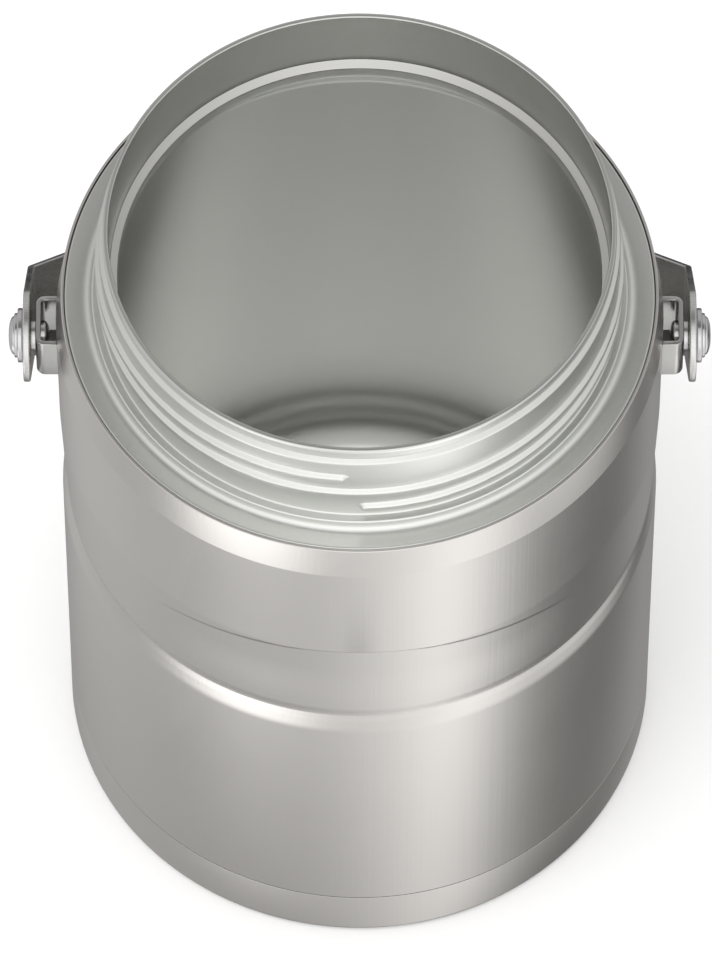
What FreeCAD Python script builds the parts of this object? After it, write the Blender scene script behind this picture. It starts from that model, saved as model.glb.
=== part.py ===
import FreeCAD, Part
import math
import os

import Sketcher
from FreeCAD import Vector

# Wide-mouth insulated food jar, double-walled sheet steel, with a folding flat-strip carry handle.
# Millimetres. +Z is up, the origin is the centre of the foot ring, -Y is the front and the handle rests on the back.

doc = FreeCAD.newDocument("InsulatedFoodJar")
sheet = doc.addObject("Spreadsheet::Sheet", "Dimensions")

TABLE = [
    # overall
    ("jar_height", 180.0, "floor to top of the lip"),
    ("body_radius", 60.5, "outside of the casing"),
    ("outer_wall", 0.6, "sheet thickness of the casing"),
    ("inner_wall_sheet", 0.5, "sheet thickness of the inner vessel"),
    ("weld_gap", 0.05, "gap between nested sheets"),
    ("spigot_gap", 0.15, "gap between the base cup and the narrowed casing end"),
    # base
    ("foot_outer_radius", 59.0, "outer edge of the foot ring"),
    ("foot_inner_radius", 52.5, "inner edge of the foot ring"),
    ("base_recess", 2.0, "rise of the middle of the base"),
    ("base_recess_radius", 50.0, "flat middle of the base"),
    ("base_edge_round", 1.5, "rounding of the bottom edge"),
    ("base_cup_height", 14.3, "top edge of the base cup"),
    ("base_cup_bevel", 13.3, "inner end of the bevel on the base cup's rim"),
    ("seam_height", 14.45, "bottom of the full-width casing"),
    ("joggle_height", 13.4, "top of the narrowed casing end"),
    ("casing_bottom", 2.6, "lower end of the casing sheet"),
    # casing profile
    ("band_foot", 85.3, "lower edge of the waist flank"),
    ("waist_height", 90.1, "deepest line of the waist"),
    ("waist_depth", 0.85, "depth of the waist"),
    ("band_top", 117.5, "where the casing starts to draw in"),
    ("bevel_bottom", 148.0, "lower edge of the bevel"),
    ("shoulder_height", 156.0, "outer edge of the shoulder"),
    ("bevel_top_radius", 59.35, "upper edge of the bevel"),
    ("casing_mouth_radius", 58.8, "inner edge of the casing's top"),
    # shoulder and neck
    ("flange_bottom", 152.6, "lower end of the shoulder's flange"),
    ("cove_height", 154.65, "inner end of the shoulder"),
    ("step_radius", 53.3, "ring at the foot of the neck"),
    ("step_height", 157.2, "top of that ring"),
    ("neck_radius", 51.4, "outside of the neck between threads"),
    ("neck_top", 176.2, "top of the neck's plain band"),
    ("crevice_radius", 50.35, "line under the lip"),
    ("crevice_height", 176.8, "line under the lip"),
    ("lip_bottom", 177.3, "lower edge of the lip band"),
    ("lip_radius", 50.6, "outside of the lip"),
    ("lip_seam", 179.15, "where the lip covers the neck's end"),
    # thread on the neck
    ("thread_pitch", 5.43, "rise in one turn"),
    ("thread_turns", 1.98, "length of the thread"),
    ("thread_start", 160.45, "height of the thread's middle at the front"),
    ("thread_depth", 0.9, "how far the thread stands out"),
    ("thread_under", 1.45, "root to middle, lower side"),
    ("thread_crest_low", 0.95, "crest to middle, lower side"),
    ("thread_crest_high", 0.45, "crest to middle, upper side"),
    ("thread_over", 1.25, "root to middle, upper side"),
    # inner vessel
    ("mouth_radius", 49.5, "bore inside the neck"),
    ("ledge_top", 164.5, "outer edge of the ledge"),
    ("ledge_bottom", 163.5, "inner edge of the ledge"),
    ("throat_radius", 47.9, "narrowest inside radius"),
    ("throat_bottom", 160.4, "lower end of the throat"),
    ("vessel_radius", 54.5, "inside of the vessel"),
    ("vessel_shoulder", 149.0, "top of the vessel's straight wall"),
    ("vessel_weld", 26.0, "joint between wall and bottom"),
    ("vessel_floor", 12.0, "inside floor at its edge"),
    ("vessel_crown", 0.8, "rise of the floor's middle"),
    ("vessel_corner", 12.5, "inside corner radius"),
    # vacuum space
    ("foil_sheet", 0.15, "foil thickness"),
    ("foil_bottom", 28.0, "lower edge of the foil"),
    ("foil_top", 144.0, "upper edge of the foil"),
    ("foil_disc_radius", 40.0, "foil under the floor"),
    ("closure_height", 5.0, "underside of the closure plate"),
    ("closure_recess", 1.4, "rise of its middle"),
    ("closure_recess_radius", 8.0, "radius of its middle"),
    ("evacuation_hole", 1.5, "radius of the hole"),
    ("plug_radius", 3.4, "radius of the sealing bead"),
    ("getter_radius", 4.5, "getter tablet"),
    ("getter_height", 3.0, "getter tablet"),
    ("getter_offset", 30.0, "distance of the tablet from the axis"),
    ("clip_sheet", 0.4, "thickness of the clip"),
    ("clip_width", 5.0, "width of the clip"),
    # handle and its pivots
    ("pivot_height", 139.6, "height of the pivot axis"),
    ("bracket_out", 64.6, "outer face of the bracket"),
    ("bracket_sheet", 1.0, "bracket thickness"),
    ("bracket_half_depth", 5.7, "half of its front-to-back size"),
    ("bracket_height", 11.6, "bracket height"),
    ("bracket_bend", 1.8, "outside bend radius"),
    ("shank_radius", 2.0, "rivet shank"),
    ("bracket_hole", 2.05, "hole in bracket and washers"),
    ("strap_hole", 2.06, "hole in the handle"),
    ("strap_in", 65.7, "inner face of the handle's arms"),
    ("strap_sheet", 1.4, "handle thickness"),
    ("strap_width", 18.6, "handle width"),
    ("handle_arm", 27.9, "pivot to the first bend"),
    ("handle_reach", 104.0, "pivot to the crossbar"),
    ("handle_slant", 23.0, "inward lean of the upper arms, degrees"),
    ("handle_rest", 49.0, "how far the handle hangs below level, degrees"),
    ("spacer_radius", 2.9, "spacer between bracket and handle"),
    ("spacer_length", 1.05, "spacer length"),
    ("washer_radius", 5.45, "outer washer"),
    ("washer_face", 67.2, "inner face of the outer washer"),
    ("washer_length", 1.1, "outer washer thickness"),
    ("head_radius", 4.45, "outer rivet head"),
    ("head_out", 70.1, "top of the outer rivet head"),
    ("tail_radius", 3.0, "inner rivet head"),
    ("tail_in", 61.9, "top of the inner rivet head"),
]
VALUES = {}
for row, (alias, value, note) in enumerate(TABLE, start=1):
    sheet.set("A%d" % row, note)
    sheet.set("B%d" % row, str(value))
    sheet.setAlias("B%d" % row, alias)
    VALUES[alias] = value
doc.recompute()


class Size:
    """A length that carries both its number and the sheet expression it comes from."""

    def __init__(self, number, text):
        self.number = float(number)
        self.text = text

    def __add__(self, other):
        o = as_size(other)
        return Size(self.number + o.number, "(%s + %s)" % (self.text, o.text))

    def __radd__(self, other):
        return as_size(other) + self

    def __sub__(self, other):
        o = as_size(other)
        return Size(self.number - o.number, "(%s - %s)" % (self.text, o.text))

    def __rsub__(self, other):
        return as_size(other) - self

    def __mul__(self, other):
        o = as_size(other)
        return Size(self.number * o.number, "(%s * %s)" % (self.text, o.text))

    def __rmul__(self, other):
        return as_size(other) * self

    def __truediv__(self, other):
        o = as_size(other)
        return Size(self.number / o.number, "(%s / %s)" % (self.text, o.text))

    def __neg__(self):
        return Size(-self.number, "(0 - %s)" % self.text)


def as_size(value):
    return value if isinstance(value, Size) else Size(value, repr(float(value)))


def S(alias):
    return Size(VALUES[alias], "Dimensions." + alias)


def tan_deg(angle):
    return Size(math.tan(math.radians(angle.number)), "tan(%s * 1 deg)" % angle.text)


def new_body(label):
    body = doc.addObject("PartDesign::Body", label)
    body.Label = label
    return body


def plane(body, role):
    for item in body.Origin.OriginFeatures:
        if item.Role == role:
            return item
    raise ValueError(role)


def new_sketch(body, name, role):
    sketch = body.newObject("Sketcher::SketchObject", name)
    sketch.AttachmentSupport = [(plane(body, role), "")]
    sketch.MapMode = "FlatFace"
    return sketch


def bind_point(sketch, tag, geo, pos, h, v):
    """Place one point of the sketch from the sketch's origin, with sizes from the sheet."""
    for letter, kind, size, axis in (("h", "DistanceX", h, -2), ("v", "DistanceY", v, -1)):
        if abs(size.number) < 1e-9:
            sketch.addConstraint(Sketcher.Constraint("PointOnObject", geo, pos, axis))
        else:
            index = sketch.addConstraint(
                Sketcher.Constraint(kind, -1, 1, geo, pos, size.number)
            )
            name = "%s%s" % (letter, tag)
            sketch.renameConstraint(index, name)
            sketch.setExpression("Constraints." + name, size.text)


def outline(sketch, corners, prefix=""):
    """A closed outline of straight sides. A corner is (h, v) or (h, v, radius): a radius rounds it."""
    pts = [
        (as_size(c[0]), as_size(c[1]), as_size(c[2]) if len(c) > 2 else None)
        for c in corners
    ]
    n = len(pts)
    xy = [Vector(p[0].number, p[1].number, 0) for p in pts]
    start, end, arcs = list(xy), list(xy), {}
    for i in range(n):
        radius = pts[i][2]
        if radius is None:
            continue
        back = (xy[i - 1] - xy[i]).normalize()
        ahead = (xy[(i + 1) % n] - xy[i]).normalize()
        half = math.acos(max(-1.0, min(1.0, back.dot(ahead)))) / 2.0
        reach = radius.number / math.tan(half)
        a, b = xy[i] + back * reach, xy[i] + ahead * reach
        centre = xy[i] + (back + ahead).normalize() * (radius.number / math.sin(half))
        end[i], start[i] = a, b
        left_turn = (-back).cross(ahead).z > 0
        first, last = (a, b) if left_turn else (b, a)
        t0 = math.atan2(first.y - centre.y, first.x - centre.x)
        t1 = math.atan2(last.y - centre.y, last.x - centre.x)
        while t1 < t0:
            t1 += 2 * math.pi
        arcs[i] = (
            Part.ArcOfCircle(Part.Circle(centre, Vector(0, 0, 1), radius.number), t0, t1),
            left_turn,
        )
    # side i runs from corner i to corner i + 1
    sides = []
    for i in range(n):
        sides.append(
            sketch.addGeometry(Part.LineSegment(start[i], end[(i + 1) % n]), False)
        )
    for i in range(n):
        before, after = sides[i - 1], sides[i]
        h, v, radius = pts[i]
        tag = "%s%d" % (prefix, i)
        if radius is None:
            sketch.addConstraint(Sketcher.Constraint("Coincident", before, 2, after, 1))
            bind_point(sketch, tag, after, 1, h, v)
        else:
            curve, left_turn = arcs[i]
            arc = sketch.addGeometry(curve, False)
            spot = sketch.addGeometry(Part.Point(xy[i]), True)
            bind_point(sketch, tag, spot, 1, h, v)
            sketch.addConstraint(Sketcher.Constraint("PointOnObject", spot, 1, before))
            sketch.addConstraint(Sketcher.Constraint("PointOnObject", spot, 1, after))
            sketch.addConstraint(
                Sketcher.Constraint("Tangent", arc, 1 if left_turn else 2, before, 2)
            )
            sketch.addConstraint(
                Sketcher.Constraint("Tangent", arc, 2 if left_turn else 1, after, 1)
            )
            index = sketch.addConstraint(
                Sketcher.Constraint("Radius", arc, radius.number)
            )
            sketch.renameConstraint(index, "r" + tag)
            sketch.setExpression("Constraints.r" + tag, radius.text)


def circle(sketch, tag, radius):
    geo = sketch.addGeometry(
        Part.Circle(Vector(0, 0, 0), Vector(0, 0, 1), radius.number), False
    )
    sketch.addConstraint(Sketcher.Constraint("Coincident", geo, 3, -1, 1))
    index = sketch.addConstraint(Sketcher.Constraint("Radius", geo, radius.number))
    sketch.renameConstraint(index, "r" + tag)
    sketch.setExpression("Constraints.r" + tag, radius.text)
    return geo


def turned(label, corners, axis="V_Axis", angle=360.0):
    """A body of revolution: about the jar's axis (V_Axis) or about the pivot axis (H_Axis)."""
    body = new_body(label)
    sketch = new_sketch(body, label + "_profile", "XZ_Plane")
    outline(sketch, corners)
    turn = body.newObject("PartDesign::Revolution", label + "_turned")
    turn.Profile = sketch
    turn.ReferenceAxis = (sketch, [axis])
    turn.Angle = angle
    sketch.Visibility = False
    body.Tip = turn
    return body


def lift_to_pivot(body, flip):
    """Put a piece drawn about the origin onto the pivot axis. The left side is the right side turned half round."""
    body.Placement = FreeCAD.Placement(
        Vector(0, 0, VALUES["pivot_height"]),
        FreeCAD.Rotation(Vector(0, 0, 1), 180 if flip else 0),
    )
    body.setExpression("Placement.Base.z", "Dimensions.pivot_height")


pieces = []

# ---------------------------------------------------------------- outer casing
wall = S("outer_wall")
casing_in = S("body_radius") - wall
cup_in = S("body_radius") - wall
joggle = cup_in - S("spigot_gap")
waist_radius = S("body_radius") - S("waist_depth")
outer_shell = turned(
    "outer_shell",
    [
        (joggle - wall, S("casing_bottom")),
        (joggle, S("casing_bottom")),
        (joggle, S("joggle_height"), 0.5),
        (S("body_radius"), S("seam_height"), 0.25),
        (S("body_radius"), S("band_foot"), 2.5),
        (waist_radius, S("waist_height"), 1.2),
        (S("body_radius"), S("band_top"), 30.0),
        (S("body_radius"), S("bevel_bottom"), 1.2),
        (S("bevel_top_radius"), S("shoulder_height"), 0.25),
        (S("casing_mouth_radius"), S("shoulder_height")),
        (casing_in, S("bevel_bottom"), 1.0),
        (casing_in, S("band_top"), 30.0),
        (waist_radius - wall, S("waist_height"), 1.8),
        (casing_in, S("band_foot"), 1.9),
        (casing_in, S("seam_height") + 0.1),
        (joggle - wall, S("joggle_height")),
    ],
)
pieces.append(outer_shell)

# ---------------------------------------------------------------- shoulder and threaded neck
neck_in = S("neck_radius") - wall
lip_in = S("mouth_radius") + S("inner_wall_sheet") + S("weld_gap")
flange_radius = S("casing_mouth_radius") - S("weld_gap")
shoulder_neck = turned(
    "shoulder_neck",
    [
        (flange_radius - wall, S("flange_bottom")),
        (flange_radius, S("flange_bottom")),
        (flange_radius, S("shoulder_height") + 0.05, 0.5),
        (S("step_radius"), S("cove_height"), 1.6),
        (S("step_radius"), S("step_height"), 0.45),
        (S("neck_radius"), S("step_height"), 0.5),
        (S("neck_radius"), S("neck_top"), 0.5),
        (S("crevice_radius"), S("crevice_height"), 0.12),
        (S("lip_radius"), S("lip_bottom"), 0.15),
        (S("lip_radius"), S("lip_seam")),
        (lip_in, S("lip_seam")),
        (lip_in, S("crevice_height") - 0.4),
        (neck_in, S("neck_top") - 0.5),
        (neck_in, S("step_height") - wall),
        (S("step_radius") - wall, S("step_height") - wall),
        (S("step_radius") - wall, S("cove_height") - 0.75, 0.4),
        (flange_radius - wall, S("shoulder_height") - 0.62),
    ],
)
# one right-hand thread, from just right of the front, up and round to just left of the front
ridge = new_sketch(shoulder_neck, "thread_ridge", "YZ_Plane")
root = -(S("neck_radius") - 0.2)
crest = -(S("neck_radius") + S("thread_depth"))
middle = S("thread_start")
outline(
    ridge,
    [
        (root, middle - S("thread_under")),
        (crest, middle - S("thread_crest_low"), 0.25),
        (crest, middle + S("thread_crest_high"), 0.25),
        (root, middle + S("thread_over")),
    ],
)
doc.recompute()
thread = shoulder_neck.newObject("PartDesign::AdditiveHelix", "neck_thread")
thread.Profile = ridge
thread.ReferenceAxis = (ridge, ["V_Axis"])
thread.Mode = 1
thread.Pitch = VALUES["thread_pitch"]
thread.Turns = VALUES["thread_turns"]
thread.setExpression("Pitch", "Dimensions.thread_pitch")
thread.setExpression("Turns", "Dimensions.thread_turns")
thread.LeftHanded = False
thread.Reversed = False
ridge.Visibility = False
shoulder_neck.Tip = thread
pieces.append(shoulder_neck)

# ---------------------------------------------------------------- inner vessel
liner = S("inner_wall_sheet")
inner_wall = turned(
    "inner_wall",
    [
        (S("vessel_radius"), S("vessel_weld")),
        (S("vessel_radius") + liner, S("vessel_weld")),
        (S("vessel_radius") + liner, S("vessel_shoulder") + 0.2, 6.0),
        (S("throat_radius") + liner, S("throat_bottom") + 0.2, 3.0),
        (S("throat_radius") + liner, S("ledge_bottom") - 0.3, 0.4),
        (S("mouth_radius") + liner, S("ledge_top") - 0.3, 0.4),
        (S("mouth_radius") + liner, S("lip_seam") + 0.05),
        (S("lip_radius"), S("lip_seam") + 0.05),
        (S("lip_radius"), S("jar_height"), 0.4),
        (S("mouth_radius"), S("jar_height"), 0.4),
        (S("mouth_radius"), S("ledge_top"), 0.3),
        (S("throat_radius"), S("ledge_bottom"), 0.4),
        (S("throat_radius"), S("throat_bottom"), 3.5),
        (S("vessel_radius"), S("vessel_shoulder"), 5.5),
    ],
)
pieces.append(inner_wall)

inner_bottom = turned(
    "inner_bottom",
    [
        (0.0, S("vessel_floor") + S("vessel_crown") - liner),
        (S("vessel_radius") + liner, S("vessel_floor") - liner, S("vessel_corner") + liner),
        (S("vessel_radius") + liner, S("vessel_weld")),
        (S("vessel_radius"), S("vessel_weld")),
        (S("vessel_radius"), S("vessel_floor"), S("vessel_corner")),
        (0.0, S("vessel_floor") + S("vessel_crown")),
    ],
)
pieces.append(inner_bottom)

# ---------------------------------------------------------------- what the vacuum space holds
foil_in = S("vessel_radius") + liner + S("weld_gap")
pieces.append(
    turned(
        "radiation_foil",
        [
            (foil_in, S("foil_bottom")),
            (foil_in + S("foil_sheet"), S("foil_bottom")),
            (foil_in + S("foil_sheet"), S("foil_top")),
            (foil_in, S("foil_top")),
        ],
        angle=357.0,
    )
)
foil_disc_top = S("vessel_floor") - liner - 0.1
pieces.append(
    turned(
        "foil_disc",
        [
            (0.0, foil_disc_top - S("foil_sheet")),
            (S("foil_disc_radius"), foil_disc_top - S("foil_sheet")),
            (S("foil_disc_radius"), foil_disc_top),
            (0.0, foil_disc_top),
        ],
    )
)
closure_top = S("closure_height") + wall
closure_rim = joggle - wall - S("weld_gap")
pieces.append(
    turned(
        "closure_plate",
        [
            (S("evacuation_hole"), S("closure_height") + S("closure_recess")),
            (S("closure_recess_radius"), S("closure_height") + S("closure_recess"), 0.5),
            (S("closure_recess_radius") + 1.6, S("closure_height"), 0.8),
            (closure_rim - wall, S("closure_height"), 0.4),
            (closure_rim - wall, S("casing_bottom")),
            (closure_rim, S("casing_bottom")),
            (closure_rim, closure_top, 1.0),
            (S("closure_recess_radius") + 1.4, closure_top, 0.4),
            (S("closure_recess_radius") - 0.2, closure_top + S("closure_recess"), 0.8),
            (S("evacuation_hole"), closure_top + S("closure_recess")),
        ],
    )
)
plug_top = S("closure_height") + S("closure_recess") - 0.02
pieces.append(
    turned(
        "evacuation_plug",
        [
            (0.0, plug_top - 1.2),
            (S("plug_radius") * 0.6, plug_top - 1.1, 1.5),
            (S("plug_radius"), plug_top - 0.4, 0.3),
            (S("plug_radius"), plug_top),
            (S("evacuation_hole") - 0.05, plug_top),
            (S("evacuation_hole") - 0.05, plug_top + 0.8, 0.4),
            (0.0, plug_top + 0.8),
        ],
    )
)

getter = new_body("getter_tablet")
spot = new_sketch(getter, "getter_circle", "XY_Plane")
circle(spot, "tablet", S("getter_radius"))
puck = getter.newObject("PartDesign::Pad", "getter_pad")
puck.Profile = spot
puck.Length = VALUES["getter_height"]
puck.setExpression("Length", "Dimensions.getter_height")
spot.Visibility = False
getter.Tip = puck
getter.Placement = FreeCAD.Placement(
    Vector(VALUES["getter_offset"], 0, closure_top.number + 0.02), FreeCAD.Rotation()
)
getter.setExpression("Placement.Base.x", "Dimensions.getter_offset")
getter.setExpression("Placement.Base.z", closure_top.text + " + 0.02")
pieces.append(getter)

clip = new_body("getter_clip")
hat = new_sketch(clip, "clip_profile", "XZ_Plane")
clip_half = S("getter_radius") + 0.2
clip_in = S("getter_height") + 0.1
clip_t = S("clip_sheet")
outline(
    hat,
    [
        (-(clip_half + clip_t + 3.0), 0.0),
        (-clip_half, 0.0),
        (-clip_half, clip_in),
        (clip_half, clip_in),
        (clip_half, 0.0),
        (clip_half + clip_t + 3.0, 0.0),
        (clip_half + clip_t + 3.0, clip_t),
        (clip_half + clip_t, clip_t, 0.3),
        (clip_half + clip_t, clip_in + clip_t, 0.5),
        (-(clip_half + clip_t), clip_in + clip_t, 0.5),
        (-(clip_half + clip_t), clip_t, 0.3),
        (-(clip_half + clip_t + 3.0), clip_t),
    ],
)
strip = clip.newObject("PartDesign::Pad", "clip_pad")
strip.Profile = hat
strip.Length = VALUES["clip_width"]
strip.setExpression("Length", "Dimensions.clip_width")
strip.Midplane = True
hat.Visibility = False
clip.Tip = strip
clip.Placement = FreeCAD.Placement(
    Vector(VALUES["getter_offset"], 0, closure_top.number + 0.01), FreeCAD.Rotation()
)
clip.setExpression("Placement.Base.x", "Dimensions.getter_offset")
clip.setExpression("Placement.Base.z", closure_top.text + " + 0.01")
pieces.append(clip)

# ---------------------------------------------------------------- base cup
pieces.append(
    turned(
        "base_cup",
        [
            (0.0, S("base_recess")),
            (S("base_recess_radius"), S("base_recess"), 1.0),
            (S("foot_inner_radius"), 0.0, 1.0),
            (S("body_radius"), 0.0, S("base_edge_round")),
            (S("body_radius"), S("base_cup_height"), 0.05),
            (cup_in, S("base_cup_bevel")),
            (cup_in, wall, S("base_edge_round") - wall),
            (S("foot_inner_radius") + 0.25, wall, 0.4),
            (S("base_recess_radius") + 0.25, S("base_recess") + wall, 1.6),
            (0.0, S("base_recess") + wall),
        ],
    )
)

# ---------------------------------------------------------------- handle brackets
# A U of sheet metal, open above and below, its two legs welded to the casing.
half = S("bracket_half_depth")
for side, flip in (("right", False), ("left", True)):
    bracket = new_body("handle_bracket_" + side)
    bend = new_sketch(bracket, "bracket_bend_" + side, "XY_Plane")
    seat = casing_in + wall + S("weld_gap")
    outline(
        bend,
        [
            (seat - 0.269, -half),
            (S("bracket_out"), -half, S("bracket_bend")),
            (S("bracket_out"), half, S("bracket_bend")),
            (seat - 0.269, half),
            (seat - 0.183, half - S("bracket_sheet")),
            (
                S("bracket_out") - S("bracket_sheet"),
                half - S("bracket_sheet"),
                S("bracket_bend") - S("bracket_sheet"),
            ),
            (
                S("bracket_out") - S("bracket_sheet"),
                -(half - S("bracket_sheet")),
                S("bracket_bend") - S("bracket_sheet"),
            ),
            (seat - 0.183, -(half - S("bracket_sheet"))),
        ],
    )
    pad = bracket.newObject("PartDesign::Pad", "bracket_pad_" + side)
    pad.Profile = bend
    pad.Length = VALUES["bracket_height"]
    pad.setExpression("Length", "Dimensions.bracket_height")
    pad.Midplane = True
    bend.Visibility = False
    doc.recompute()
    bore = new_sketch(bracket, "bracket_hole_" + side, "YZ_Plane")
    circle(bore, "hole", S("bracket_hole"))
    cut = bracket.newObject("PartDesign::Pocket", "bracket_cut_" + side)
    cut.Profile = bore
    cut.Type = 1
    cut.Midplane = True
    bore.Visibility = False
    bracket.Tip = cut
    lift_to_pivot(bracket, flip)
    pieces.append(bracket)

# ---------------------------------------------------------------- rivets, spacers and washers on the pivot axis
for side, flip in (("right", False), ("left", True)):
    plate_in = S("bracket_out") - S("bracket_sheet")
    washer_out = S("washer_face") + S("washer_length")
    rivet = turned(
        "pivot_rivet_" + side,
        [
            (S("tail_in"), 0.0),
            (S("tail_in") + 0.15, S("tail_radius") * 0.55, 1.5),
            (S("tail_in") + 1.0, S("tail_radius"), 0.4),
            (plate_in - 0.02, S("tail_radius")),
            (plate_in - 0.02, S("shank_radius")),
            (washer_out + 0.02, S("shank_radius")),
            (washer_out + 0.02, S("head_radius")),
            (washer_out + 0.5, S("head_radius"), 0.25),
            (S("head_out") - 0.3, S("head_radius") * 0.6, 3.0),
            (S("head_out"), 0.0),
        ],
        axis="H_Axis",
    )
    lift_to_pivot(rivet, flip)
    pieces.append(rivet)
    spacer = turned(
        "spacer_bush_" + side,
        [
            (S("bracket_out") + 0.01, S("bracket_hole")),
            (S("bracket_out") + 0.01, S("spacer_radius"), 0.15),
            (S("bracket_out") + S("spacer_length"), S("spacer_radius"), 0.15),
            (S("bracket_out") + S("spacer_length"), S("bracket_hole")),
        ],
        axis="H_Axis",
    )
    lift_to_pivot(spacer, flip)
    pieces.append(spacer)
    washer = turned(
        "pivot_washer_" + side,
        [
            (S("washer_face"), S("bracket_hole")),
            (S("washer_face"), S("washer_radius"), 0.3),
            (washer_out, S("washer_radius"), 0.3),
            (washer_out, S("bracket_hole")),
        ],
        axis="H_Axis",
    )
    lift_to_pivot(washer, flip)
    pieces.append(washer)

# ---------------------------------------------------------------- carry handle
# One flat strip bent to a bail. It is drawn in its own plane: h across the jar, v away from the pivot.
handle = new_body("carry_handle")
bail = new_sketch(handle, "handle_bends", "XY_Plane")
t = S("strap_sheet")
lean = tan_deg(S("handle_slant"))
lean_half = tan_deg(S("handle_slant") / 2)
end = -(S("strap_width") / 2)
in_x = S("strap_in")
out_x = S("strap_in") + t
bar_in = in_x - (S("handle_reach") - S("handle_arm")) * lean
out_bend = S("handle_arm") + t * lean_half
bar_out = out_x - (S("handle_reach") + t - out_bend) * lean
far = S("handle_reach") + t
outline(
    bail,
    [
        (out_x, end),
        (out_x, out_bend, 2.9),
        (bar_out, far, 8.4),
        (-bar_out, far, 8.4),
        (-out_x, out_bend, 2.9),
        (-out_x, end),
        (-in_x, end),
        (-in_x, S("handle_arm"), 1.5),
        (-bar_in, S("handle_reach"), 7.0),
        (bar_in, S("handle_reach"), 7.0),
        (in_x, S("handle_arm"), 1.5),
        (in_x, end),
    ],
)
blank = handle.newObject("PartDesign::Pad", "handle_pad")
blank.Profile = bail
blank.Length = VALUES["strap_width"]
blank.setExpression("Length", "Dimensions.strap_width")
blank.Midplane = True
bail.Visibility = False
doc.recompute()
# the ends are cut to a half circle about the pivot
rounding = new_sketch(handle, "handle_ends", "YZ_Plane")
edge = S("strap_width") / 2
spots = [
    (as_size(0.0), edge),
    (as_size(0.0), edge + 3),
    (-(edge + 3), edge + 3),
    (-(edge + 3), -(edge + 3)),
    (as_size(0.0), -(edge + 3)),
    (as_size(0.0), -edge),
]
lines = []
for a, b in zip(spots[:-1], spots[1:]):
    lines.append(
        rounding.addGeometry(
            Part.LineSegment(Vector(a[0].number, a[1].number, 0), Vector(b[0].number, b[1].number, 0)),
            False,
        )
    )
arc = rounding.addGeometry(
    Part.ArcOfCircle(
        Part.Circle(Vector(0, 0, 0), Vector(0, 0, 1), edge.number),
        math.pi / 2,
        3 * math.pi / 2,
    ),
    False,
)
for i in range(1, len(lines)):
    rounding.addConstraint(Sketcher.Constraint("Coincident", lines[i - 1], 2, lines[i], 1))
for i, geo in enumerate(lines):
    bind_point(rounding, "e%d" % i, geo, 1, spots[i][0], spots[i][1])
rounding.addConstraint(Sketcher.Constraint("PointOnObject", lines[-1], 2, -2))
rounding.addConstraint(Sketcher.Constraint("Coincident", arc, 3, -1, 1))
rounding.addConstraint(Sketcher.Constraint("Coincident", arc, 1, lines[0], 1))
rounding.addConstraint(Sketcher.Constraint("Coincident", arc, 2, lines[-1], 2))
trim = handle.newObject("PartDesign::Pocket", "handle_trim")
trim.Profile = rounding
trim.Type = 1
trim.Midplane = True
rounding.Visibility = False
doc.recompute()
eye = new_sketch(handle, "handle_eye", "YZ_Plane")
circle(eye, "eye", S("strap_hole"))
pierce = handle.newObject("PartDesign::Pocket", "handle_pierce")
pierce.Profile = eye
pierce.Type = 1
pierce.Midplane = True
eye.Visibility = False
handle.Tip = pierce
handle.Placement = FreeCAD.Placement(
    Vector(0, 0, VALUES["pivot_height"]),
    FreeCAD.Rotation(Vector(1, 0, 0), -VALUES["handle_rest"]),
)
handle.setExpression("Placement.Base.z", "Dimensions.pivot_height")
pieces.append(handle)

# ---------------------------------------------------------------- check and write
doc.recompute()
bad = []
for item in doc.Objects:
    if "Invalid" in item.State or "Error" in item.State:
        bad.append("%s: %s" % (item.Name, item.State))
for piece in pieces:
    shape = piece.Shape
    if shape.isNull() or not shape.isValid():
        bad.append("%s: no valid shape" % piece.Label)
        continue
    if len(shape.Solids) != 1:
        bad.append("%s: %d solids" % (piece.Label, len(shape.Solids)))
if bad:
    raise RuntimeError("; ".join(bad))

os.makedirs("parts", exist_ok=True)
total = 0.0
for piece in pieces:
    shape = piece.Shape
    total += shape.Volume
    b = shape.BoundBox
    print(
        "%-24s %9.1f mm3  x %.2f..%.2f  y %.2f..%.2f  z %.2f..%.2f"
        % (piece.Label, shape.Volume, b.XMin, b.XMax, b.YMin, b.YMax, b.ZMin, b.ZMax)
    )
    shape.exportStep(os.path.join("parts", piece.Label + ".step"))
print("pieces", len(pieces), "volume %.1f mm3" % total, "steel mass about %.3f kg" % (total * 7.9e-6))
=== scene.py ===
import math

import bmesh
import bpy
import numpy as np
from mathutils import Matrix, Vector


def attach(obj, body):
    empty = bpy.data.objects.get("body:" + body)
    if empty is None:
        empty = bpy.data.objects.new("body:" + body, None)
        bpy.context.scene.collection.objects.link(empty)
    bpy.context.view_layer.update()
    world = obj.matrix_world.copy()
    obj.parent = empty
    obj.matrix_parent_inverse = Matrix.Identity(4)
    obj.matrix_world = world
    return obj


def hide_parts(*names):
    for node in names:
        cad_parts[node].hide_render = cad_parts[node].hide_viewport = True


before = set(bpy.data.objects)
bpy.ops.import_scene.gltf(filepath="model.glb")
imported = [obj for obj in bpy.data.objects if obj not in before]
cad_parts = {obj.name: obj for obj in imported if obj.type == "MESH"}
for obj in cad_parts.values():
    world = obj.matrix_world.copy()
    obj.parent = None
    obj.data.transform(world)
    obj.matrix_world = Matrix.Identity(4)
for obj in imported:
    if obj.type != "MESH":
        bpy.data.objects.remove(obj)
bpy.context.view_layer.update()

MM = 0.001
scene = bpy.context.scene
scene.view_settings.view_transform = "Standard"
scene.view_settings.look = "None"

# ------------------------------------------------------------------ camera
cam_data = bpy.data.cameras.new("camera")
cam = bpy.data.objects.new("camera", cam_data)
scene.collection.objects.link(cam)
cam_data.lens = 414.6
cam_data.sensor_width = 36.0
cam_data.clip_start = 0.1
cam_data.clip_end = 50.0
cam.location = (-0.00073, -1.1359, 2.0338)
cam.rotation_euler = (math.radians(30.2), 0.0, 0.0)
scene.camera = cam


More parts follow.
